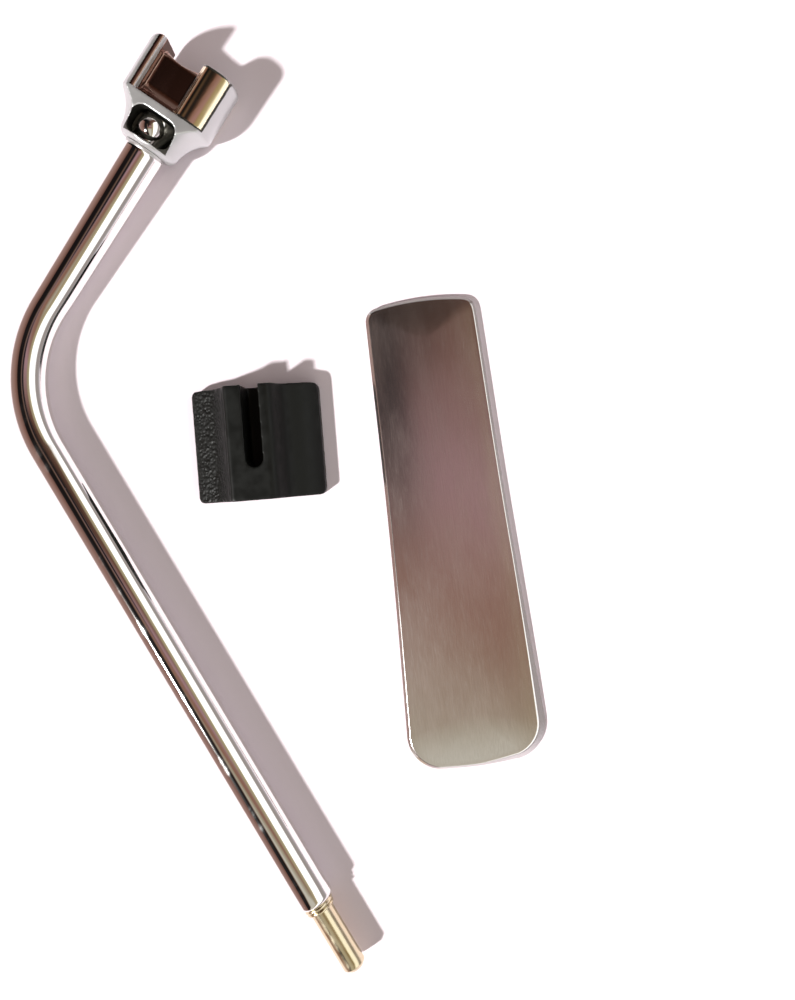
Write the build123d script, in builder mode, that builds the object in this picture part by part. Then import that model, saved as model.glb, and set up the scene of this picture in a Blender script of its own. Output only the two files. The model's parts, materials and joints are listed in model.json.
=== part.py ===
"""Foot pedal set, laid out on a table: bent lever arm with a swivelling fork head,
slotted rubber block and pressed steel foot plate. Millimetres, +Z up, table at Z = 0."""

import os
from math import cos, radians, sin

from build123d import *

# Lever arm: round bar, one wide bend, lower leg lying on the table
BAR_DIAMETER = 16.0
BEND_CORNER = (-115.85, 55.57)     # where the two leg centrelines would cross
LOWER_HEADING = -59.1             # degrees from +X
UPPER_HEADING = 57.0
LOWER_LENGTH = 257.0              # corner to the shoulder at the spigot
UPPER_LENGTH = 112.4              # corner to the face of the fork head
UPPER_RISE = 2.7                  # degrees, so that the fork head lies on the table
BEND_RADIUS = 58.0
SHOULDER_ROUND = 2.2
HIDDEN_END_CHAMFER = 0.8

# Spigot pin pressed into the lower end
SPIGOT_DIAMETER = 10.0
SPIGOT_LENGTH = 28.8
SPIGOT_CHAMFER = 1.6
RING_DIAMETER = 13.0
RING_LENGTH = 3.2
RING_ROUND = 0.8
SHANK_DIAMETER = 8.0
SHANK_LENGTH = 20.0

# Swivel joint: the bar's end turns in the fork head's bore, a domed pin keeps it there
RUNNING_CLEARANCE = 0.05          # radial
BAR_INSERTION = 14.0              # how far the bar goes into the fork head
BORE_DEPTH = 14.6
PIN_DISTANCE = 7.9                # from the face of the fork head to the pin's axis
PIN_HEAD_DIAMETER = 11.2
PIN_SHANK_DIAMETER = 6.0
PIN_HEAD_BASE = 4.5               # heights above the bar's axis
PIN_HEAD_SHOULDER = 7.6
PIN_HEAD_TOP = 11.4

# Fork head: turned, milled flat front and back, then slotted
HEAD_TURN = 8.0                   # degrees about the bar, as it happens to lie
HEAD_RADIUS = 20.3
HALF_DEPTH = 11.9
HEAD_LENGTH = 41.0
COLLAR_RADIUS = 10.3
COLLAR_BULGE = (1.5, 12.2)
COLLAR_SHOULDER = (4.0, 13.0)
SCALLOP_MIDDLE = (11.0, 15.6)
SCALLOP_END = (16.0, 19.9)
SCALLOP_BLEND = (16.6, 20.2)
NECK_LENGTH = 17.4
SLOT_LEFT = 12.3                  # the slot's two walls, measured from the bar's axis
SLOT_RIGHT = -3.9
PRONG_DEPTH = 10.4                # at a prong's edges; its face is crowned up to HALF_DEPTH
PRONG_EDGE = (HEAD_RADIUS**2 - PRONG_DEPTH**2) ** 0.5
TIP_ROUND = 2.6
SLOT_HALF_WIDTH = (SLOT_LEFT - SLOT_RIGHT) / 2
WEB_START = 22.4                  # the web joins the prongs from the neck to here and on to its end
WEB_END = 38.4
WEB_DEPTH = 5.4
WEB_NOSE = (37.75, 3.35)          # a point on the round nose at the web's free edge
WEB_ROOT = 4.0                    # how far the web's body reaches back into the neck
WEB_LAP = 1.0                     # and into each prong
WEB_ROUND = 7.0
WEB_HOLLOW = 2.2
WINDOW_WIDTH = 19.2
WINDOW_LENGTH = 11.8
WINDOW_CORNER = 4.4
WINDOW_FLOOR = 1.0

# Rubber block
BLOCK_CENTRE = (-8.85, 28.17)
BLOCK_LEAN = 4.6                  # degrees, anticlockwise
BLOCK_WIDTH = 54.0
BLOCK_HEIGHT = 47.5
BLOCK_DEPTH = 21.0
BLOCK_CORNER = 2.5
SLOT_WIDTH = 7.0
SLOT_LENGTH = 34.0
SLOT_FLOOR = 5.0
# Its end profile, as (distance from the middle, height): left ledge, ramp, flat top, right slope
LEDGE = ((-27.0, 5.5), (-25.0, 7.0), (-18.0, 10.0))
RAMP = ((-14.0, 14.0), (-11.5, 18.0))
TOP_LEFT = -9.5
TOP_RIGHT = 5.5
RIGHT_SLOPE = ((11.5, 15.0), (20.7, 10.8))
RIGHT_EDGE_HEIGHT = 6.5

# Foot plate
PLATE_CENTRE = (72.25, -9.73)
PLATE_LEAN = 7.7
PLATE_LENGTH = 201.0
PLATE_TOP_WIDTH = 47.0
PLATE_BOTTOM_WIDTH = 61.0
PLATE_HEIGHT = 4.5
PLATE_THICKNESS = 1.5
PLATE_RIM_ROUND = 3.2
TOP_CORNER = 6.0
BOTTOM_CORNER = 15.0
END_CROWN = 2.5

os.makedirs("parts", exist_ok=True)


def heading(angle, rise=0.0):
    """Unit vector at an angle from +X, rising above the table by rise degrees."""
    return Vector(
        cos(radians(angle)) * cos(radians(rise)),
        sin(radians(angle)) * cos(radians(rise)),
        sin(radians(rise)),
    )


lower_way = heading(LOWER_HEADING)
upper_way = heading(UPPER_HEADING, UPPER_RISE)
corner = Vector(BEND_CORNER[0], BEND_CORNER[1], BAR_DIAMETER / 2)
shoulder_point = corner + lower_way * LOWER_LENGTH
yoke_face = corner + upper_way * UPPER_LENGTH
bar_end = yoke_face + upper_way * BAR_INSERTION
swivel_axis = Axis(yoke_face, upper_way)
pin_way = heading(UPPER_HEADING + 180, 90 - UPPER_RISE)
front_way = pin_way.rotate(swivel_axis, HEAD_TURN)
yoke_plane = Plane(origin=yoke_face, x_dir=upper_way, z_dir=front_way)
left_way = yoke_plane.y_dir
pin_centre = yoke_face + upper_way * PIN_DISTANCE

# --- lever arm ---------------------------------------------------------------
with BuildPart() as lever_arm:
    with BuildLine() as centreline:
        FilletPolyline(shoulder_point, corner, bar_end, radius=BEND_RADIUS)
    with BuildSketch(Plane(origin=shoulder_point, z_dir=-lower_way)):
        Circle(BAR_DIAMETER / 2)
    sweep(path=centreline.line)
    lower_rim = lever_arm.edges().filter_by(GeomType.CIRCLE).sort_by(Axis.Y)[0]
    fillet(lower_rim, SHOULDER_ROUND)
    upper_rim = lever_arm.edges().filter_by(GeomType.CIRCLE).sort_by(Axis.Y)[-1]
    chamfer(upper_rim, HIDDEN_END_CHAMFER)
    with BuildSketch(Plane(origin=pin_centre, z_dir=pin_way)):
        Circle(PIN_SHANK_DIAMETER / 2)
    extrude(amount=BAR_DIAMETER, mode=Mode.SUBTRACT)
    with BuildSketch(Plane(origin=shoulder_point, z_dir=-lower_way)):
        Circle(SHANK_DIAMETER / 2)
    extrude(amount=SHANK_LENGTH, mode=Mode.SUBTRACT)
lever_arm.part.label = "lever_arm"

# --- spigot pin --------------------------------------------------------------
with BuildPart() as spigot_pin:
    with BuildSketch(Plane(origin=shoulder_point, z_dir=-lower_way)):
        Circle(SHANK_DIAMETER / 2)
    extrude(amount=SHANK_LENGTH)
    with BuildSketch(Plane(origin=shoulder_point, z_dir=lower_way)):
        Circle(RING_DIAMETER / 2)
    extrude(amount=RING_LENGTH)
    ring_rims = spigot_pin.edges().filter_by(GeomType.CIRCLE).group_by(SortBy.RADIUS)[-1]
    fillet(ring_rims, RING_ROUND)
    with BuildSketch(Plane(origin=shoulder_point, z_dir=lower_way)):
        Circle(SPIGOT_DIAMETER / 2)
    extrude(amount=RING_LENGTH + SPIGOT_LENGTH)
    tip_rim = spigot_pin.edges().filter_by(GeomType.CIRCLE).sort_by(Axis.Y)[0]
    chamfer(tip_rim, SPIGOT_CHAMFER)
spigot_pin.part.label = "spigot_pin"

# --- swivel pin --------------------------------------------------------------
with BuildPart() as swivel_pin:
    pin_section = Plane(origin=pin_centre, x_dir=upper_way, z_dir=upper_way.cross(pin_way))
    with BuildSketch(pin_section):
        with BuildLine():
            rim = PIN_HEAD_DIAMETER / 2
            dome = PIN_HEAD_TOP - PIN_HEAD_SHOULDER
            dome_radius = (rim**2 + dome**2) / (2 * dome)
            Polyline(
                (0, PIN_HEAD_TOP),
                (0, PIN_HEAD_BASE),
                (rim, PIN_HEAD_BASE),
                (rim, PIN_HEAD_SHOULDER),
            )
            RadiusArc((rim, PIN_HEAD_SHOULDER), (0, PIN_HEAD_TOP), -dome_radius)
        make_face()
    revolve(axis=Axis(pin_centre, pin_way))
    with BuildSketch(Plane(origin=bar_end, z_dir=-upper_way)):
        Circle(BAR_DIAMETER / 2)
    extrude(amount=BAR_INSERTION * 2, mode=Mode.SUBTRACT)
    with BuildSketch(Plane(origin=pin_centre, z_dir=pin_way)):
        Circle(PIN_SHANK_DIAMETER / 2)
    extrude(amount=PIN_HEAD_SHOULDER + dome / 2)
swivel_pin.part.label = "swivel_pin"

# --- fork head ---------------------------------------------------------------
with BuildPart() as yoke:
    with BuildSketch(yoke_plane):
        with BuildLine():
            Line((0, 0), (0, COLLAR_RADIUS))
            ThreePointArc((0, COLLAR_RADIUS), COLLAR_BULGE, COLLAR_SHOULDER)
            ThreePointArc(COLLAR_SHOULDER, SCALLOP_MIDDLE, SCALLOP_END)
            ThreePointArc(SCALLOP_END, SCALLOP_BLEND, (NECK_LENGTH, HEAD_RADIUS))
            Line((NECK_LENGTH, HEAD_RADIUS), (HEAD_LENGTH - TIP_ROUND, HEAD_RADIUS))
            RadiusArc(
                (HEAD_LENGTH - TIP_ROUND, HEAD_RADIUS),
                (HEAD_LENGTH, HEAD_RADIUS - TIP_ROUND),
                TIP_ROUND,
            )
            Line((HEAD_LENGTH, HEAD_RADIUS - TIP_ROUND), (HEAD_LENGTH, 0))
            Line((HEAD_LENGTH, 0), (0, 0))
        make_face()
    revolve(axis=swivel_axis)
    with BuildSketch(yoke_plane):
        with Locations((HEAD_LENGTH / 2, 0)):
            Rectangle(HEAD_LENGTH, 3 * HEAD_RADIUS)
    extrude(amount=HALF_DEPTH, both=True, mode=Mode.INTERSECT)

    prong_plane = Plane(origin=yoke_face + upper_way * NECK_LENGTH, x_dir=left_way, z_dir=upper_way)
    with BuildSketch(prong_plane):
        Rectangle(3 * HEAD_RADIUS, 3 * HEAD_RADIUS)
        for wall in (SLOT_LEFT, SLOT_RIGHT):
            side = 1 if wall > 0 else -1
            edge = side * PRONG_EDGE
            outside = side * 1.5 * HEAD_RADIUS
            with BuildLine():
                Line((wall, -PRONG_DEPTH), (wall, PRONG_DEPTH))
                ThreePointArc((wall, PRONG_DEPTH), ((wall + edge) / 2, HALF_DEPTH), (edge, PRONG_DEPTH))
                Polyline(
                    (edge, PRONG_DEPTH),
                    (outside, PRONG_DEPTH),
                    (outside, -PRONG_DEPTH),
                    (edge, -PRONG_DEPTH),
                )
                ThreePointArc((edge, -PRONG_DEPTH), ((wall + edge) / 2, -HALF_DEPTH), (wall, -PRONG_DEPTH))
            make_face(mode=Mode.SUBTRACT)
    extrude(amount=HEAD_LENGTH, mode=Mode.SUBTRACT)

    web_plane = Plane(origin=yoke_face + left_way * (SLOT_RIGHT - WEB_LAP), x_dir=upper_way, z_dir=left_way)
    for side in (1, -1):
        with BuildSketch(web_plane):
            with BuildLine():
                Polyline(
                    (WEB_END, 0),
                    (NECK_LENGTH - WEB_ROOT, 0),
                    (NECK_LENGTH - WEB_ROOT, -side * HALF_DEPTH),
                    (NECK_LENGTH, -side * HALF_DEPTH),
                )
                RadiusArc((NECK_LENGTH, -side * HALF_DEPTH), (WEB_START, -side * WEB_DEPTH), side * WEB_ROUND)
                Line((WEB_START, -side * WEB_DEPTH), (WEB_END - WEB_DEPTH / 2, -side * WEB_DEPTH))
                ThreePointArc(
                    (WEB_END - WEB_DEPTH / 2, -side * WEB_DEPTH),
                    (WEB_NOSE[0], -side * WEB_NOSE[1]),
                    (WEB_END, 0),
                )
            make_face()
        extrude(amount=SLOT_LEFT - SLOT_RIGHT + 2 * WEB_LAP)
    slot_middle = yoke_face + left_way * ((SLOT_LEFT + SLOT_RIGHT) / 2)
    hollow_radius = (SLOT_HALF_WIDTH**2 + WEB_HOLLOW**2) / (2 * WEB_HOLLOW)
    with BuildSketch(Plane(origin=slot_middle, x_dir=upper_way, z_dir=front_way)):
        with Locations((WEB_END - WEB_HOLLOW + hollow_radius, 0)):
            Circle(hollow_radius)
        with Locations((WEB_END, 0)):
            Rectangle(4 * WEB_HOLLOW, 2 * SLOT_HALF_WIDTH, mode=Mode.INTERSECT)
    extrude(amount=HALF_DEPTH, both=True, mode=Mode.SUBTRACT)

    window_plane = Plane(origin=pin_centre + front_way * WINDOW_FLOOR, x_dir=upper_way, z_dir=front_way)
    with BuildSketch(window_plane):
        RectangleRounded(WINDOW_LENGTH, WINDOW_WIDTH, WINDOW_CORNER)
    extrude(amount=HEAD_RADIUS, mode=Mode.SUBTRACT)
    with BuildSketch(Plane(origin=yoke_face, z_dir=upper_way)):
        Circle(BAR_DIAMETER / 2 + RUNNING_CLEARANCE)
    extrude(amount=BORE_DEPTH, mode=Mode.SUBTRACT)
yoke.part.label = "yoke"

# --- rubber block ------------------------------------------------------------
block_across = heading(BLOCK_LEAN)
block_up = heading(BLOCK_LEAN + 90)
block_centre = Vector(BLOCK_CENTRE[0], BLOCK_CENTRE[1], 0)
block_foot = block_centre - block_up * (BLOCK_HEIGHT / 2)
block_end = Plane(origin=block_foot, x_dir=block_across, z_dir=-block_up)
half_block = BLOCK_WIDTH / 2

with BuildPart() as rubber_block:
    with BuildSketch(block_end):
        with BuildLine():
            Polyline((half_block, RIGHT_EDGE_HEIGHT), (half_block, 0), (-half_block, 0), *LEDGE)
            Spline(LEDGE[-1], *RAMP, (TOP_LEFT, BLOCK_DEPTH), tangents=((1, 0.45), (1, 0)))
            Line((TOP_LEFT, BLOCK_DEPTH), (TOP_RIGHT, BLOCK_DEPTH))
            Spline(
                (TOP_RIGHT, BLOCK_DEPTH),
                *RIGHT_SLOPE,
                (half_block, RIGHT_EDGE_HEIGHT),
                tangents=((1, 0), (1, -1)),
            )
        make_face()
    extrude(amount=-BLOCK_HEIGHT)
    base_plane = Plane(origin=block_centre, x_dir=block_across, z_dir=(0, 0, 1))
    with BuildSketch(base_plane):
        RectangleRounded(BLOCK_WIDTH, BLOCK_HEIGHT, BLOCK_CORNER)
    extrude(amount=BLOCK_DEPTH, mode=Mode.INTERSECT)
    slot_plane = Plane(origin=block_centre + Vector(0, 0, SLOT_FLOOR), x_dir=block_across, z_dir=(0, 0, 1))
    with BuildSketch(slot_plane):
        slot_foot = BLOCK_HEIGHT / 2 - SLOT_LENGTH + SLOT_WIDTH / 2
        with Locations((0, slot_foot)):
            Circle(SLOT_WIDTH / 2)
        with Locations((0, slot_foot + SLOT_LENGTH / 2)):
            Rectangle(SLOT_WIDTH, SLOT_LENGTH)
    extrude(amount=BLOCK_DEPTH, mode=Mode.SUBTRACT)
rubber_block.part.label = "rubber_block"

# --- foot plate --------------------------------------------------------------
plate_centre = (PLATE_CENTRE[0], PLATE_CENTRE[1], 0)
plate_plane = Plane(origin=plate_centre, x_dir=heading(PLATE_LEAN), z_dir=(0, 0, 1))
half_length = PLATE_LENGTH / 2
half_top = PLATE_TOP_WIDTH / 2
half_bottom = PLATE_BOTTOM_WIDTH / 2

with BuildPart() as pedal_plate:
    with BuildSketch(plate_plane) as plate_outline:
        with BuildLine():
            ThreePointArc(
                (-half_top, half_length - END_CROWN),
                (0, half_length),
                (half_top, half_length - END_CROWN),
            )
            Line((half_top, half_length - END_CROWN), (half_bottom, END_CROWN - half_length))
            ThreePointArc(
                (half_bottom, END_CROWN - half_length),
                (0, -half_length),
                (-half_bottom, END_CROWN - half_length),
            )
            Line((-half_bottom, END_CROWN - half_length), (-half_top, half_length - END_CROWN))
        make_face()
        fillet(plate_outline.vertices().sort_by(Axis.Y)[-2:], TOP_CORNER)
        fillet(plate_outline.vertices().sort_by(Axis.Y)[:2], BOTTOM_CORNER)
    extrude(amount=PLATE_HEIGHT)
    fillet(pedal_plate.faces().sort_by(Axis.Z)[-1].edges(), PLATE_RIM_ROUND)
    offset(amount=-PLATE_THICKNESS, openings=pedal_plate.faces().sort_by(Axis.Z)[0])
pedal_plate.part.label = "pedal_plate"

for piece in (lever_arm, spigot_pin, swivel_pin, yoke, rubber_block, pedal_plate):
    export_step(piece.part, f"parts/{piece.part.label}.step")
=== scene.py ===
"""Foot pedal set lying on a white table: bent lever arm with its fork head, rubber block, foot plate.
Metres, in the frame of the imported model."""

import json
import math

import bpy
from mathutils import Matrix, Vector


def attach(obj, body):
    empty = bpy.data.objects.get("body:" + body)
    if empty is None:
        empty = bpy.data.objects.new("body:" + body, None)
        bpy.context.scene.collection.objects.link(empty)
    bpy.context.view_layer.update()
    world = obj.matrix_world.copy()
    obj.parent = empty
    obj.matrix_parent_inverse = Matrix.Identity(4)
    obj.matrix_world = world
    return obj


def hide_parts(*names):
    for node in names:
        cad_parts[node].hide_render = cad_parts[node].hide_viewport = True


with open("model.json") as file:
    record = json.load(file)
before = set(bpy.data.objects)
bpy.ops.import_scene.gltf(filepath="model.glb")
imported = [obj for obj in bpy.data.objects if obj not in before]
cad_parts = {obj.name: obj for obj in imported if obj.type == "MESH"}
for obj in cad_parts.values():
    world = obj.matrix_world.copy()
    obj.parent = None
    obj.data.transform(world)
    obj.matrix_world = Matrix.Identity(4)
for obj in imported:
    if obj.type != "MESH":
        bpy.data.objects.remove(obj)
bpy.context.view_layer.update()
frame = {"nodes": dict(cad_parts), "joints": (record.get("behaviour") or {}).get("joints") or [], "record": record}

MM = 0.001
UP = Vector((0, 0, 1))


def mount(name):
    """Place and axis of one of the record's mounts."""
    found = next(m for m in frame["record"]["mounts"] if m["name"] == name)
    return Vector(found["pos_m"]), Vector(found["axis"])


swivel = next(j for j in frame["joints"] if j["name"] == "head_swivel")
head_face = Vector(swivel["pos_m"])
upper_way = Vector(swivel["axis"]).normalized()
spigot_centre, lower_way = mount("spigot")

# --- camera: looks straight down from close above the table ---------------------
CAMERA_HEIGHT = 387 * MM
CAMERA_SPOT = (53.05 * MM, 16.77 * MM)
VIEW_HEIGHT = 430 * MM            # length of table seen from top to bottom of the picture
SENSOR = 36.0

camera_data = bpy.data.cameras.new("camera")
camera_data.sensor_width = SENSOR
camera_data.lens = SENSOR * CAMERA_HEIGHT / VIEW_HEIGHT
camera_data.shift_x = -0.0075
camera_data.shift_y = -0.030
camera_data.clip_start = 0.01
camera = bpy.data.objects.new("camera", camera_data)
camera.location = (*CAMERA_SPOT, CAMERA_HEIGHT)
bpy.context.scene.collection.objects.link(camera)
bpy.context.scene.camera = camera
bpy.context.scene.view_settings.view_transform = "Standard"


# --- node helpers ----------------------------------------------------------------
class Shader:
    """A material's node tree with short ways to add and join nodes."""

    def __init__(self, tree):
        self.tree = tree
        tree.nodes.clear()

    def add(self, kind, settings=None, **inputs):
        """Adds a node. An input is a socket to join or a value; i0, i1 ... count the inputs."""
        node = self.tree.nodes.new(kind)
        for name, value in (settings or {}).items():
            setattr(node, name, value)
        for name, value in inputs.items():
            key = int(name[1:]) if name[0] == "i" and name[1:].isdigit() else name.replace("_", " ")
            if isinstance(value, bpy.types.NodeSocket):
                self.tree.links.new(value, node.inputs[key])
            else:
                node.inputs[key].default_value = value
        return node

    def math(self, operation, *values):
        inputs = {f"i{k}": value for k, value in enumerate(values)}
        return self.add("ShaderNodeMath", {"operation": operation}, **inputs).outputs[0]

    def mix(self, factor, first, second, blend="MIX"):
        settings = {"data_type": "RGBA", "blend_type": blend}
        return self.add("ShaderNodeMix", settings, i0=factor, i6=first, i7=second).outputs[2]

    def ramp(self, factor, stops, interpolation="LINEAR"):
        node = self.add("ShaderNodeValToRGB", None, Fac=factor)
        node.color_ramp.interpolation = interpolation
        elements = node.color_ramp.elements
        while len(elements) < len(stops):
            elements.new(1.0)
        for element, (position, colour) in zip(elements, stops):
            element.position = position
            element.color = (*colour, 1.0)
        return node.outputs[0]

    def span(self, value, low, high, to_low=0.0, to_high=1.0):
        node = self.add("ShaderNodeMapRange", {"interpolation_type": "SMOOTHSTEP"}, Value=value)
        limits = {"From Min": low, "From Max": high, "To Min": to_low, "To Max": to_high}
        for name, number in limits.items():
            node.inputs[name].default_value = number
        return node.outputs[0]

    def along(self, axis, origin=Vector((0, 0, 0))):
        """Distance in millimetres along an axis from an origin."""
        place = self.add("ShaderNodeTexCoord").outputs["Object"]
        offset = self.add("ShaderNodeVectorMath", {"operation": "SUBTRACT"}, i0=place, i1=origin)
        offset = offset.outputs[0]
        dot = self.add("ShaderNodeVectorMath", {"operation": "DOT_PRODUCT"}, i0=offset, i1=axis)
        return self.math("MULTIPLY", dot.outputs["Value"], 1 / MM)

    def noise(self, vector, scale, detail=3.0, roughness=0.5):
        inputs = {"Vector": vector, "Scale": scale, "Detail": detail, "Roughness": roughness}
        return self.add("ShaderNodeTexNoise", None, **inputs).outputs[0]

    def bump(self, height, strength, distance, normal=None):
        node = self.add("ShaderNodeBump", None, Height=height, Strength=strength, Distance=distance)
        if normal is not None:
            self.tree.links.new(normal, node.inputs["Normal"])
        return node.outputs[0]

    def finish(self, **inputs):
        body = self.add("ShaderNodeBsdfPrincipled", None, **inputs)
        self.add("ShaderNodeOutputMaterial", None, Surface=body.outputs[0])


def new_material(name):
    material = bpy.data.materials.new(name)
    material.use_nodes = True
    return material, Shader(material.node_tree)


def lengthwise(shader, axis, stretch):
    """Coordinates in millimetres that run stretch times slower along an axis."""
    side = axis.cross(UP).normalized()
    normal = side.cross(axis)
    slow = shader.math("DIVIDE", shader.along(axis), stretch)
    join = shader.add("ShaderNodeCombineXYZ", None, X=slow, Y=shader.along(side), Z=shader.along(normal))
    return join.outputs[0]


# --- materials ---------------------------------------------------------------------
def chrome(name, axis, roughness=0.05, tint=(0.90, 0.885, 0.87, 1)):
    """Bright plating with faint polishing lines along the axis and a few dull smudges."""
    material, shader = new_material(name)
    lines = shader.noise(lengthwise(shader, axis, 30), 2.2, 4)
    smudges = shader.noise(lengthwise(shader, axis, 3), 0.09, 5, 0.6)
    dull = shader.span(smudges, 0.5, 0.72, roughness, roughness + 0.07)
    pits = shader.noise(lengthwise(shader, axis, 1), 0.5, 2)
    fine = shader.bump(lines, 0.03, 0.02 * MM)
    normal = shader.bump(pits, 0.05, 0.04 * MM, fine)
    shader.finish(Base_Color=tint, Metallic=1.0, Roughness=dull, Normal=normal)
    return material


def satin(name, axis):
    """Tumbled, softly grained plating of the head's outside."""
    material, shader = new_material(name)
    grain = shader.noise(lengthwise(shader, axis, 1), 3.5, 4)
    cloud = shader.noise(lengthwise(shader, axis, 1), 0.12, 3)
    tone = shader.mix(cloud, (0.50, 0.53, 0.53, 1), (0.60, 0.60, 0.61, 1))
    rough = shader.span(cloud, 0.3, 0.7, 0.30, 0.40)
    normal = shader.bump(grain, 0.12, 0.03 * MM)
    shader.finish(Base_Color=tone, Metallic=0.72, Roughness=rough, Normal=normal)
    return material


def painted_black_shade(name, axis):
    """Dull metal near black, painted shade inside the head's window and bore and along its dark lines."""
    material, shader = new_material(name)
    cloud = shader.noise(lengthwise(shader, axis, 1), 0.5, 4)
    # the near-black tone is painted shade, varied at random by the cloud
    tone = shader.mix(cloud, (0.03, 0.032, 0.03, 1), (0.09, 0.085, 0.07, 1))
    normal = shader.bump(cloud, 0.3, 0.1 * MM)
    rough = shader.span(cloud, 0.3, 0.7, 0.28, 0.45)
    shader.finish(Base_Color=tone, Metallic=0.8, Roughness=rough, Normal=normal)
    return material


def turned_steel(name, axis):
    """Plating with a warm tint painted in as a warm reflection, over fine lathe rings."""
    material, shader = new_material(name)
    one_way = {"noise_dimensions": "1D"}
    rings = shader.add("ShaderNodeTexNoise", one_way, W=shader.along(axis), Scale=5.0, Detail=3.0)
    cloud = shader.noise(lengthwise(shader, axis, 2), 0.25, 3)
    # the warm tone is a painted warm reflection; the cloud varies it at random
    tone = shader.mix(cloud, (0.66, 0.56, 0.36, 1), (0.78, 0.70, 0.52, 1))
    normal = shader.bump(rings.outputs[0], 0.25, 0.03 * MM)
    rough = shader.span(cloud, 0.3, 0.7, 0.12, 0.24)
    shader.finish(Base_Color=tone, Metallic=1.0, Roughness=rough, Normal=normal)
    return material


def brushed_steel(name, axis):
    """Polished sheet with fine lengthwise hairlines, short scratches and a slight waviness."""
    material, shader = new_material(name)
    hairs = shader.noise(lengthwise(shader, axis, 45), 5.0, 5, 0.65)
    scratches = shader.noise(lengthwise(shader, axis, 14), 2.4, 3, 0.7)
    waves = shader.noise(lengthwise(shader, axis, 1.6), 0.035, 2, 0.4)
    cloud = shader.noise(lengthwise(shader, axis, 3), 0.05, 4, 0.6)
    cloudy = shader.mix(cloud, (0.84, 0.82, 0.82, 1), (0.93, 0.905, 0.895, 1))
    tone = shader.mix(shader.span(hairs, 0.35, 0.65, 0.0, 0.30), cloudy, (0.62, 0.60, 0.59, 1))
    streak = shader.span(scratches, 0.45, 0.80, 0.0, 0.05)
    rough = shader.math("ADD", streak, shader.span(cloud, 0.3, 0.7, 0.15, 0.21))
    swell = shader.bump(waves, 0.20, 0.5 * MM)
    scuffed = shader.bump(scratches, 0.04, 0.03 * MM, swell)
    normal = shader.bump(hairs, 0.12, 0.03 * MM, scuffed)
    shader.finish(Base_Color=tone, Metallic=1.0, Roughness=rough, Normal=normal)
    return material


def black_rubber(name, across, centre):
    """Moulded rubber, smooth but for a pebble-grained strip along its left side."""
    material, shader = new_material(name)
    place = lengthwise(shader, across, 1)
    smooth = {"feature": "SMOOTH_F1"}
    cells = shader.add("ShaderNodeTexVoronoi", smooth, Vector=place, Scale=0.85, Randomness=1.0)
    strip = shader.span(shader.along(across, centre), -12.5, -15.0)
    pebbles = shader.math("MULTIPLY", cells.outputs[0], strip)
    cloud = shader.noise(place, 0.22, 4)
    grain = shader.noise(place, 4.0, 3)
    tone = shader.mix(cloud, (0.003, 0.0034, 0.003, 1), (0.006, 0.007, 0.006, 1))
    fine = shader.bump(grain, 0.10, 0.05 * MM)
    normal = shader.bump(pebbles, 0.9, 0.5 * MM, fine)
    rough = shader.span(cloud, 0.3, 0.7, 0.36, 0.52)
    shader.finish(Base_Color=tone, Roughness=rough, Specular_IOR_Level=0.20, Normal=normal)
    return material


# --- mesh helpers ------------------------------------------------------------------
def new_piece(name, mesh, body, slot, *materials):
    piece = bpy.data.objects.new(name, mesh)
    bpy.context.scene.collection.objects.link(piece)
    mesh.shade_smooth()
    mesh.materials.clear()
    for material in materials:
        mesh.materials.append(material)
    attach(piece, body)
    return piece


def turned_mesh(name, stations, reference=UP, sides=96):
    """A closed skin of round sections; each station is a centre, a direction and a radius."""
    points = []
    for centre, way, radius in stations:
        side = way.cross(reference).normalized()
        over = side.cross(way).normalized()
        for k in range(sides):
            angle = math.tau * k / sides
            points.append(centre + (side * math.cos(angle) + over * math.sin(angle)) * radius)
    faces = []
    for row in range(len(stations) - 1):
        for k in range(sides):
            a = row * sides + k
            b = row * sides + (k + 1) % sides
            faces.append((b, a, a + sides, b + sides))
    faces.append(tuple(range(sides)))
    faces.append(tuple(reversed(range(len(points) - sides, len(points)))))
    mesh = bpy.data.meshes.new(name)
    mesh.from_pydata(points, [], faces)
    return mesh


def straight(origin, way, outline):
    """Stations of a turned piece from (distance, radius) pairs in millimetres."""
    return [(origin + way * distance * MM, way, radius * MM) for distance, radius in outline]


def rounded_rim(distance, radius, round_off, grows):
    """Outline of a rounded rim: from the flat end out to full radius, or back if grows is False."""
    steps = [math.radians(15 * k) for k in range(7)]
    rim = [(round_off * (1 - math.sin(a)), radius - round_off * (1 - math.cos(a))) for a in steps]
    if grows:
        return [(distance + d, r) for d, r in reversed(rim)]
    return [(distance - d, r) for d, r in rim]


def softened_mesh(node, voxel, passes):
    """A copy of a CAD node's mesh with its sharp edges rounded by remeshing and smoothing."""
    source = bpy.data.objects.new(node + "_source", frame["nodes"][node].data.copy())
    bpy.context.scene.collection.objects.link(source)
    remesh = source.modifiers.new("remesh", "REMESH")
    remesh.mode = "VOXEL"
    remesh.voxel_size = voxel * MM
    smooth = source.modifiers.new("smooth", "SMOOTH")
    smooth.factor = 0.5
    smooth.iterations = passes
    graph = bpy.context.evaluated_depsgraph_get()
    mesh = bpy.data.meshes.new_from_object(source.evaluated_get(graph))
    bpy.data.objects.remove(source)
    return mesh


# --- lever arm ---------------------------------------------------------------------
BAR_RADIUS = 8.0
NECK_RADIUS = 8.8                 # the bar swells a little towards the fork head
BEND_RADIUS = 58 * MM
SHOULDER_ROUND = 2.2
JOURNAL_RADIUS = 7.98             # the part inside the fork head's bore
JOURNAL_LENGTH = 13.5
JOURNAL_ROUND = 0.8
NECK_GAP = 0.15 * MM              # between the swollen neck and the fork head's face
RING_LENGTH = 3.2
RING_RADIUS = 6.5
GROOVE_RADIUS = 5.5               # turned groove that splits the ring into two beads
BEAD_RADIUS = 6.2
SPIGOT_RADIUS = 5.0
SPIGOT_LENGTH = 28.8
SPIGOT_CHAMFER = 1.6

shoulder = spigot_centre - lower_way * (RING_LENGTH + (SPIGOT_LENGTH - SPIGOT_CHAMFER) / 2) * MM


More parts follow.
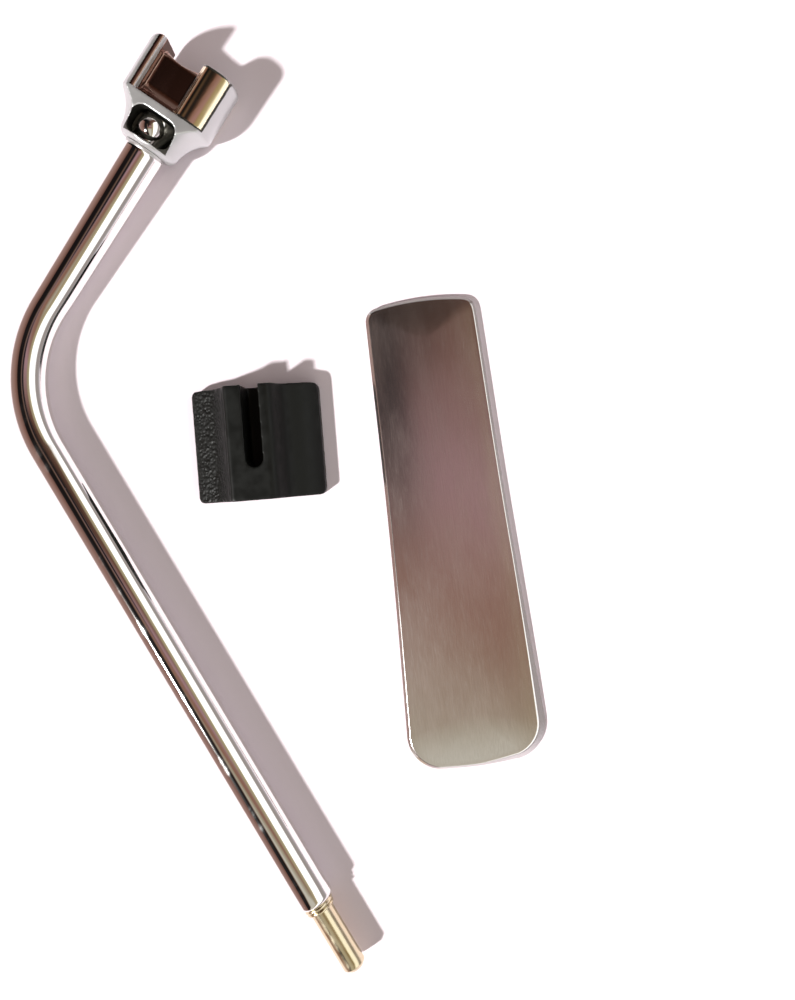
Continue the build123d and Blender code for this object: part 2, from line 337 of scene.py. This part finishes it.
def crossing(first, first_way, second, second_way):
    """Point of the first line that is nearest to the second."""
    gap = first - second
    both = first_way.dot(second_way)
    travel = (both * second_way.dot(gap) - first_way.dot(gap)) / (1 - both * both)
    return first + first_way * travel


def make_lever_arm():
    corner = crossing(shoulder, lower_way, head_face, upper_way)
    turn = (-lower_way).angle(upper_way)
    cut = BEND_RADIUS * math.tan(turn / 2)
    inward = (upper_way - (-lower_way)).normalized()
    hub = corner + inward * BEND_RADIUS / math.cos(turn / 2)
    axis = (-lower_way).cross(upper_way).normalized()
    start = corner + lower_way * cut
    leg = (start - shoulder).length

    stations = straight(shoulder, -lower_way, rounded_rim(0, BAR_RADIUS, SHOULDER_ROUND, True))
    steps = 30
    for k in range(1, steps):
        stations.append((shoulder - lower_way * leg * k / steps, -lower_way, BAR_RADIUS * MM))
    bend_steps = 64
    for k in range(bend_steps + 1):
        spin = Matrix.Rotation(turn * k / bend_steps, 3, axis)
        stations.append((hub + spin @ (start - hub), spin @ -lower_way, BAR_RADIUS * MM))
    bend_end = stations[-1][0]
    rest = (head_face - bend_end).length
    for k in range(1, steps + 1):
        part = k / steps
        radius = BAR_RADIUS + (NECK_RADIUS - BAR_RADIUS) * part
        stations.append((bend_end + upper_way * (rest * part - NECK_GAP), upper_way, radius * MM))
    stations += straight(head_face - upper_way * NECK_GAP, upper_way, [(0.0, JOURNAL_RADIUS)])
    journal_end = rounded_rim(JOURNAL_LENGTH, JOURNAL_RADIUS, JOURNAL_ROUND, False)
    stations += straight(head_face, upper_way, journal_end)
    mesh = turned_mesh("lever_arm_skin", stations)
    piece = new_piece("lever_arm_skin", mesh, "arm", "chrome", chrome("chrome_bar", upper_way))
    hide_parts("lever_arm")


def make_spigot():
    outline = rounded_rim(0, RING_RADIUS, 0.8, True) + rounded_rim(1.7, RING_RADIUS, 0.7, False)[:4]
    outline += [(1.75, GROOVE_RADIUS), (1.95, GROOVE_RADIUS)]
    outline += rounded_rim(1.95, BEAD_RADIUS, 0.5, True)[3:]
    outline += rounded_rim(RING_LENGTH, BEAD_RADIUS, 0.6, False)
    outline += [(RING_LENGTH, SPIGOT_RADIUS), (RING_LENGTH + 0.3, SPIGOT_RADIUS)]
    end = RING_LENGTH + SPIGOT_LENGTH
    outline += [(RING_LENGTH + SPIGOT_LENGTH * k / 8, SPIGOT_RADIUS) for k in range(1, 8)]
    outline += [(end - SPIGOT_CHAMFER - 0.15, SPIGOT_RADIUS), (end - SPIGOT_CHAMFER, 4.95)]
    outline += [(end - 0.15, 3.5), (end, 3.35), (end, 1.6), (end - 0.7, 0.4)]
    mesh = turned_mesh("spigot_skin", straight(shoulder, lower_way, outline))
    piece = new_piece("spigot_skin", mesh, "arm", "turned_steel", turned_steel("turned", lower_way))
    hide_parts("spigot_pin")


# --- fork head ---------------------------------------------------------------------
NECK_LENGTH = 17.4
HEAD_TURN = 8.0                   # degrees about the bar
HALF_DEPTH = 11.9
SLOT_LEFT = 12.3
SLOT_RIGHT = -3.9
PRONG_DEPTH = 10.4                # at a prong's edges; its face is crowned up to HALF_DEPTH
PRONG_EDGE = 17.4
BROAD_PRONG_ROUND = 3.6
THIN_PRONG_ROUND = 1.6
BORE_REACH = (8.4, 14.8)          # radius and depth of the bore that is painted dark as shade
WINDOW_HALF_WIDTH = 9.85
WINDOW_ENDS = (1.75, 14.05)
WINDOW_TOP = 11.55
THIN_BAND_EDGE = 15.5             # the thin prong's face is painted dark brown, as a painted reflection, from the slot to here
FLANK_LINE = -17.35               # thin painted shade line along the broad prong's outer edge
LINE_HALF_WIDTH = 0.42
TIP_LINE = 40.1                   # painted shade line across the broad prong's tip
NECK_LINE = (17.3, 18.15)         # and across the head where the prongs begin
SATIN, PAINTED_WARM_REFLECTION, PAINTED_BLACK_SHADE, PAINTED_BROWN_SHADE = range(4)


def rounded_corner(across, depth, wall, edge, radius):
    """Moves a point near the slot-side edge of a prong's crowned face onto a round edge."""
    side = 1 if edge > wall else -1
    middle, half = (wall + edge) / 2, abs(edge - wall) / 2
    face = PRONG_DEPTH + (HALF_DEPTH - PRONG_DEPTH) * (1 - ((across - middle) / half) ** 2)
    p = radius - side * (across - wall)
    q = radius - (face - abs(depth))
    if min(p, q) <= 0 or max(p, q) > radius * 1.1:
        return across, depth
    scale = max(p, q) / math.hypot(p, q)
    return wall + side * (radius - p * scale), math.copysign(face - radius + q * scale, depth)


def head_finish(far, across, depth, facing, radius):
    """Which of the head's materials a face takes, from its place on the head and the way it faces."""
    on_prongs = far > NECK_LENGTH
    in_window = abs(across) < WINDOW_HALF_WIDTH and WINDOW_ENDS[0] < far < WINDOW_ENDS[1]
    in_window = in_window and 0 < depth < WINDOW_TOP
    in_bore = radius < BORE_REACH[0] and far < BORE_REACH[1]
    on_flank_line = on_prongs and abs(across - FLANK_LINE) < LINE_HALF_WIDTH and depth > 8
    on_tip_line = facing > 0.5 and far > TIP_LINE and across < SLOT_RIGHT
    on_neck_line = facing > 0.5 and NECK_LINE[0] < far < NECK_LINE[1] and -17 < across < SLOT_LEFT
    # the window, the bore and the dark lines take the near-black painted shade
    if in_window or in_bore or on_flank_line or on_tip_line or on_neck_line:
        return PAINTED_BLACK_SHADE
    # the broad prong's front face takes a gold tint painted in as a warm reflection
    if on_prongs and across < SLOT_RIGHT and facing > 0.5 and abs(depth) > PRONG_DEPTH - 4:
        return PAINTED_WARM_REFLECTION
    # the slot's walls and web take the brown painted shade
    if on_prongs and SLOT_RIGHT - 0.3 < across < SLOT_LEFT + 0.3:
        return PAINTED_BROWN_SHADE
    # the thin prong's face takes the same brown tint as a painted dark reflection
    on_thin_face = SLOT_LEFT < across < THIN_BAND_EDGE and abs(depth) > PRONG_DEPTH - 2
    if on_prongs and on_thin_face and facing > 0.8:
        return PAINTED_BROWN_SHADE
    return SATIN


def make_fork_head():
    mesh = softened_mesh("yoke", 0.30, 8)
    pin_way = upper_way.cross(UP).cross(upper_way).normalized()
    front = Matrix.Rotation(math.radians(HEAD_TURN), 3, upper_way) @ pin_way
    left = front.cross(upper_way)
    for vertex in mesh.vertices:
        offset = (vertex.co - head_face) / MM
        far, across, depth = offset.dot(upper_way), offset.dot(left), offset.dot(front)
        if far < NECK_LENGTH + 0.2:
            continue
        if across < 1:
            across, depth = rounded_corner(across, depth, SLOT_RIGHT, -PRONG_EDGE, BROAD_PRONG_ROUND)
        else:
            across, depth = rounded_corner(across, depth, SLOT_LEFT, PRONG_EDGE, THIN_PRONG_ROUND)
        vertex.co = head_face + (upper_way * far + left * across + front * depth) * MM
    piece = new_piece(
        "fork_head_skin", mesh, "head", "chrome",
        satin("chrome_satin", upper_way),
        # gold tint: painted warm reflection on the broad prong's face
        chrome("chrome_painted_warm_reflection", upper_way, 0.09, (0.95, 0.84, 0.62, 1)),
        # near black: painted shade in the window, the bore and the dark lines
        painted_black_shade("head_painted_black_shade", upper_way),
        # brown tint: painted shade in the slot and painted dark reflection on the thin prong's face
        chrome("chrome_painted_brown_shade", upper_way, 0.10, (0.33, 0.22, 0.18, 1)),
    )
    for face in mesh.polygons:
        offset = (face.center - head_face) / MM
        far, across, depth = offset.dot(upper_way), offset.dot(left), offset.dot(front)
        facing = abs(face.normal.dot(front))
        face.material_index = head_finish(far, across, depth, facing, offset.cross(upper_way).length)
    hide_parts("yoke")


# --- rubber block ------------------------------------------------------------------
def make_rubber_block():
    centre, up_way = mount("block_slot")
    across = up_way.cross(UP).normalized()
    mesh = softened_mesh("rubber_block", 0.5, 5)
    rubber = black_rubber("rubber", across, mount("block_base")[0])
    piece = new_piece("rubber_block_skin", mesh, "block", "black_rubber", rubber)
    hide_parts("rubber_block")


# --- foot plate --------------------------------------------------------------------
PLATE_LEAN = 7.7
PLATE_LENGTH = 201.0
PLATE_TOP_WIDTH = 47.0
PLATE_BOTTOM_WIDTH = 61.0
PLATE_WAIST = 1.1                 # how far the long sides bow inwards
PLATE_HEIGHT = 4.5
PLATE_THICKNESS = 1.5
TOP_CORNER = 6.0
BOTTOM_CORNER = 15.0
END_CROWN = 2.5                   # how far the short ends bow outwards
CROWN = 0.8                       # rise of the face from its rim to its middle
RIM_SLOPE = 36                    # degrees, where the rim turns down
RIM_WIDTH = 1.7
RIM_WIDENING = 3.6                # extra width at the lower right


def plate_outline():
    """Closed outline in plate millimetres, anticlockwise from the lower left corner; its corners are still sharp.
    """
    half = PLATE_LENGTH / 2
    count = 60
    loop = []

    def half_width(v):
        part = (v + half) / PLATE_LENGTH
        straight_side = PLATE_BOTTOM_WIDTH + (PLATE_TOP_WIDTH - PLATE_BOTTOM_WIDTH) * part
        return straight_side / 2 - PLATE_WAIST * math.sin(math.pi * part) ** 1.5

    for k in range(count):
        u = -1 + 2 * k / count
        loop.append(Vector((u * PLATE_BOTTOM_WIDTH / 2, -half + END_CROWN * u * u)))
    for k in range(count * 2):
        v = -half + END_CROWN + (PLATE_LENGTH - 2 * END_CROWN) * k / (count * 2)
        loop.append(Vector((half_width(v), v)))
    for k in range(count):
        u = 1 - 2 * k / count
        loop.append(Vector((u * PLATE_TOP_WIDTH / 2, half - END_CROWN * u * u)))
    for k in range(count * 2):
        v = half - END_CROWN - (PLATE_LENGTH - 2 * END_CROWN) * k / (count * 2)
        loop.append(Vector((-half_width(v), v)))
    return loop


def round_corner(loop, corner, radius, steps=14):
    """Replaces the points near a corner by an arc that touches both sides."""
    nearest = min(range(len(loop)), key=lambda k: (loop[k] - corner).length)
    loop = loop[nearest:] + loop[:nearest]
    ahead = (loop[8] - loop[2]).normalized()
    behind = (loop[-8] - loop[-2]).normalized()
    half_angle = ahead.angle(behind) / 2
    reach = radius / math.tan(half_angle)
    bisector = (ahead + behind).normalized()
    hub = loop[0] + bisector * radius / math.sin(half_angle)
    kept = [point for point in loop[1:] if (point - loop[0]).length > reach * 1.05]
    first = loop[0] + behind * reach - hub
    last = loop[0] + ahead * reach - hub
    sweep = first.angle_signed(last)
    arc = [hub + Matrix.Rotation(-sweep * k / steps, 2) @ first for k in range(steps + 1)]
    return arc + kept


def even_points(loop, count):
    """The same closed line with evenly spaced points."""
    closed = loop + [loop[0]]
    lengths = [0.0]
    for a, b in zip(closed, closed[1:]):
        lengths.append(lengths[-1] + (b - a).length)
    points = []
    index = 0
    for k in range(count):
        target = lengths[-1] * k / count
        while lengths[index + 1] < target:
            index += 1
        part = (target - lengths[index]) / (lengths[index + 1] - lengths[index])
        points.append(closed[index].lerp(closed[index + 1], part))
    return points


def make_foot_plate():
    half = PLATE_LENGTH / 2
    loop = plate_outline()
    for side in (-1, 1):
        top_corner = Vector((side * PLATE_TOP_WIDTH / 2, half - END_CROWN))
        bottom_corner = Vector((side * PLATE_BOTTOM_WIDTH / 2, END_CROWN - half))
        loop = round_corner(loop, top_corner, TOP_CORNER)
        loop = round_corner(loop, bottom_corner, BOTTOM_CORNER)
    count = 480
    loop = even_points(loop, count)
    across = Vector((math.cos(math.radians(PLATE_LEAN)), math.sin(math.radians(PLATE_LEAN)), 0))
    up_way = UP.cross(across)
    centre = Vector(mount("plate_back")[0])
    centre.z = 0

    def place(point, height):
        return centre + (across * point.x + up_way * point.y + UP * height) * MM

    rim_slope = math.tan(math.radians(RIM_SLOPE))
    rings = []
    drop = 0.0
    rim_steps = 12
    for k in range(rim_steps, -1, -1):
        reach = k / rim_steps
        rings.append((reach, drop))
        bend = max(0.0, min(1.0, (1 - reach + 0.5 / rim_steps) / 0.45))
        drop += rim_slope * bend * bend * (3 - 2 * bend) / rim_steps
    rings.reverse()
    rim_line = []
    points = []
    for point in loop:
        points.append(place(point, 0.0))
    for reach, drop in rings:
        for k, point in enumerate(loop):
            tangent = (loop[(k + 2) % count] - loop[k - 2]).normalized()
            inward = Vector((-tangent.y, tangent.x))
            low = max(0.0, min(1.0, (-point.y - 10) / 90))
            right = max(0.0, point.x / (PLATE_BOTTOM_WIDTH / 2))
            rim = RIM_WIDTH + RIM_WIDENING * low**1.5 * right
            points.append(place(point + inward * reach * rim, PLATE_HEIGHT - CROWN - drop * rim))
            if reach == 1:
                rim_line.append(point + inward * rim)
    steps = 14
    for step in range(1, steps):
        part = step / steps
        for point in rim_line:
            spine = Vector((0, max(24 - half, min(half - 18, point.y))))
            height = PLATE_HEIGHT - CROWN * (1 - part) ** 2.2
            points.append(place(point.lerp(spine, part), height))
    rows = 1 + len(rings) + steps - 1
    faces = []
    for row in range(rows - 1):
        for k in range(count):
            a = row * count + k
            b = row * count + (k + 1) % count
            faces.append((a, b, b + count, a + count))
    faces.append(tuple(range((rows - 1) * count, rows * count)))
    mesh = bpy.data.meshes.new("foot_plate_skin")
    mesh.from_pydata(points, [], faces)
    steel = brushed_steel("plate_steel", up_way)
    piece = new_piece("foot_plate_skin", mesh, "plate", "polished_steel", steel)
    mesh.set_sharp_from_angle(angle=math.radians(40))
    solidify = piece.modifiers.new("thickness", "SOLIDIFY")
    solidify.thickness = PLATE_THICKNESS * MM
    solidify.offset = -1
    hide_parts("pedal_plate")


make_lever_arm()
make_spigot()
make_fork_head()
make_rubber_block()
make_foot_plate()
pin = frame["nodes"]["swivel_pin"]
pin.data.materials.clear()
pin.data.materials.append(chrome("chrome_pin", upper_way, 0.08))


# --- table, light and surroundings ---------------------------------------------------
def make_floor():
    bpy.ops.mesh.primitive_plane_add(size=4, location=(0, 0, 0))
    floor = bpy.context.object
    floor.name = "floor"
    material, shader = new_material("white_table")
    shader.finish(Base_Color=(0.90, 0.82, 0.88, 1), Roughness=0.9, Specular_IOR_Level=0.1)
    floor.data.materials.append(material)


def make_sun():
    light_data = bpy.data.lights.new("key", "SUN")
    light_data.energy = 4.6
    light_data.angle = math.radians(4)
    light_data.color = (1.0, 0.99, 0.97)
    key = bpy.data.objects.new("key", light_data)
    bpy.context.scene.collection.objects.link(key)
    key.rotation_euler = Vector((0.9, 0.66, -1.1)).to_track_quat("-Z", "Y").to_euler()


def make_surroundings():
    """The room as the chrome mirrors it: bands from left to right, seen as an angle from overhead."""
    world = bpy.data.worlds.new("room")
    bpy.context.scene.world = world
    world.use_nodes = True
    shader = Shader(world.node_tree)
    way = shader.add("ShaderNodeTexCoord").outputs["Generated"]
    parts = shader.add("ShaderNodeSeparateXYZ", None, Vector=way)
    x, y, z = parts.outputs
    tilt = shader.math("DEGREES", shader.math("ARCTAN2", x, z))
    spread = shader.math("DIVIDE", shader.math("ADD", tilt, 90.0), 180.0)

    def at(angle):
        return (angle + 90) / 180

    bands = shader.ramp(spread, [
        (at(-90), (0.62, 0.50, 0.50)),
        (at(-80), (0.36, 0.24, 0.21)),
        (at(-60), (0.30, 0.17, 0.14)),
        (at(-43), (0.17, 0.085, 0.065)),
        (at(-38), (0.010, 0.007, 0.007)),
        (at(-20), (0.010, 0.008, 0.008)),
        (at(-14), (0.16, 0.10, 0.065)),
        (at(-4), (0.30, 0.19, 0.18)),
        (at(8), (0.31, 0.21, 0.20)),
        (at(18), (0.34, 0.27, 0.16)),
        (at(27), (0.42, 0.36, 0.22)),
        (at(31), (1.5, 1.48, 1.42)),
        (at(58), (1.4, 1.4, 1.4)),
        (at(64), (0.34, 0.30, 0.28)),
        (at(80), (0.36, 0.32, 0.31)),
        (1.0, (0.62, 0.58, 0.62)),
    ])
    rise = shader.math("DEGREES", shader.math("ARCTAN2", y, z))
    overhead = shader.ramp(shader.math("DIVIDE", shader.math("ADD", rise, 30.0), 60.0), [
        (0.10, (0.55, 0.52, 0.44)),
        (0.22, (0.36, 0.31, 0.22)),
        (0.31, (0.250, 0.125, 0.088)),
        (0.40, (0.270, 0.145, 0.112)),
        (0.48, (0.360, 0.215, 0.235)),
        (0.56, (0.270, 0.155, 0.145)),
        (0.66, (0.150, 0.072, 0.050)),
        (0.80, (0.090, 0.047, 0.030)),
    ])
    right_part = shader.span(tilt, 20.0, 11.0)
    left_part = shader.span(tilt, -17.0, -10.0)
    room = shader.mix(shader.math("MULTIPLY", right_part, left_part), bands, overhead)
    left_dark = shader.math("MULTIPLY", shader.span(tilt, 0.5, -6.0), shader.span(rise, -7.0, 0.0))
    left_dark = shader.math("MULTIPLY", left_dark, shader.span(tilt, -16.0, -9.0))
    room = shader.mix(left_dark, room, (0.014, 0.013, 0.014, 1))
    ahead = shader.math("SUBTRACT", y, shader.math("MULTIPLY", shader.math("ABSOLUTE", x), 0.95))
    ahead = shader.math("DEGREES", shader.math("ARCTAN2", ahead, z))
    deep = shader.ramp(spread, [
        (at(-35), (0.004, 0.004, 0.004)),
        (at(-12), (0.010, 0.009, 0.009)),
        (at(-2), (0.030, 0.018, 0.014)),
        (at(6), (0.085, 0.042, 0.030)),
        (at(30), (0.14, 0.070, 0.048)),
        (at(60), (0.085, 0.045, 0.03)),
    ])
    deep = shader.mix(shader.span(ahead, 34.0, 60.0), deep, (0.36, 0.32, 0.31, 1))
    room = shader.mix(shader.span(ahead, 2.0, 9.5), room, deep)
    out = shader.add("ShaderNodeBackground", None, Color=room, Strength=1.0)
    shader.add("ShaderNodeOutputWorld", None, Surface=out.outputs[0])


make_floor()
make_sun()
make_surroundings()
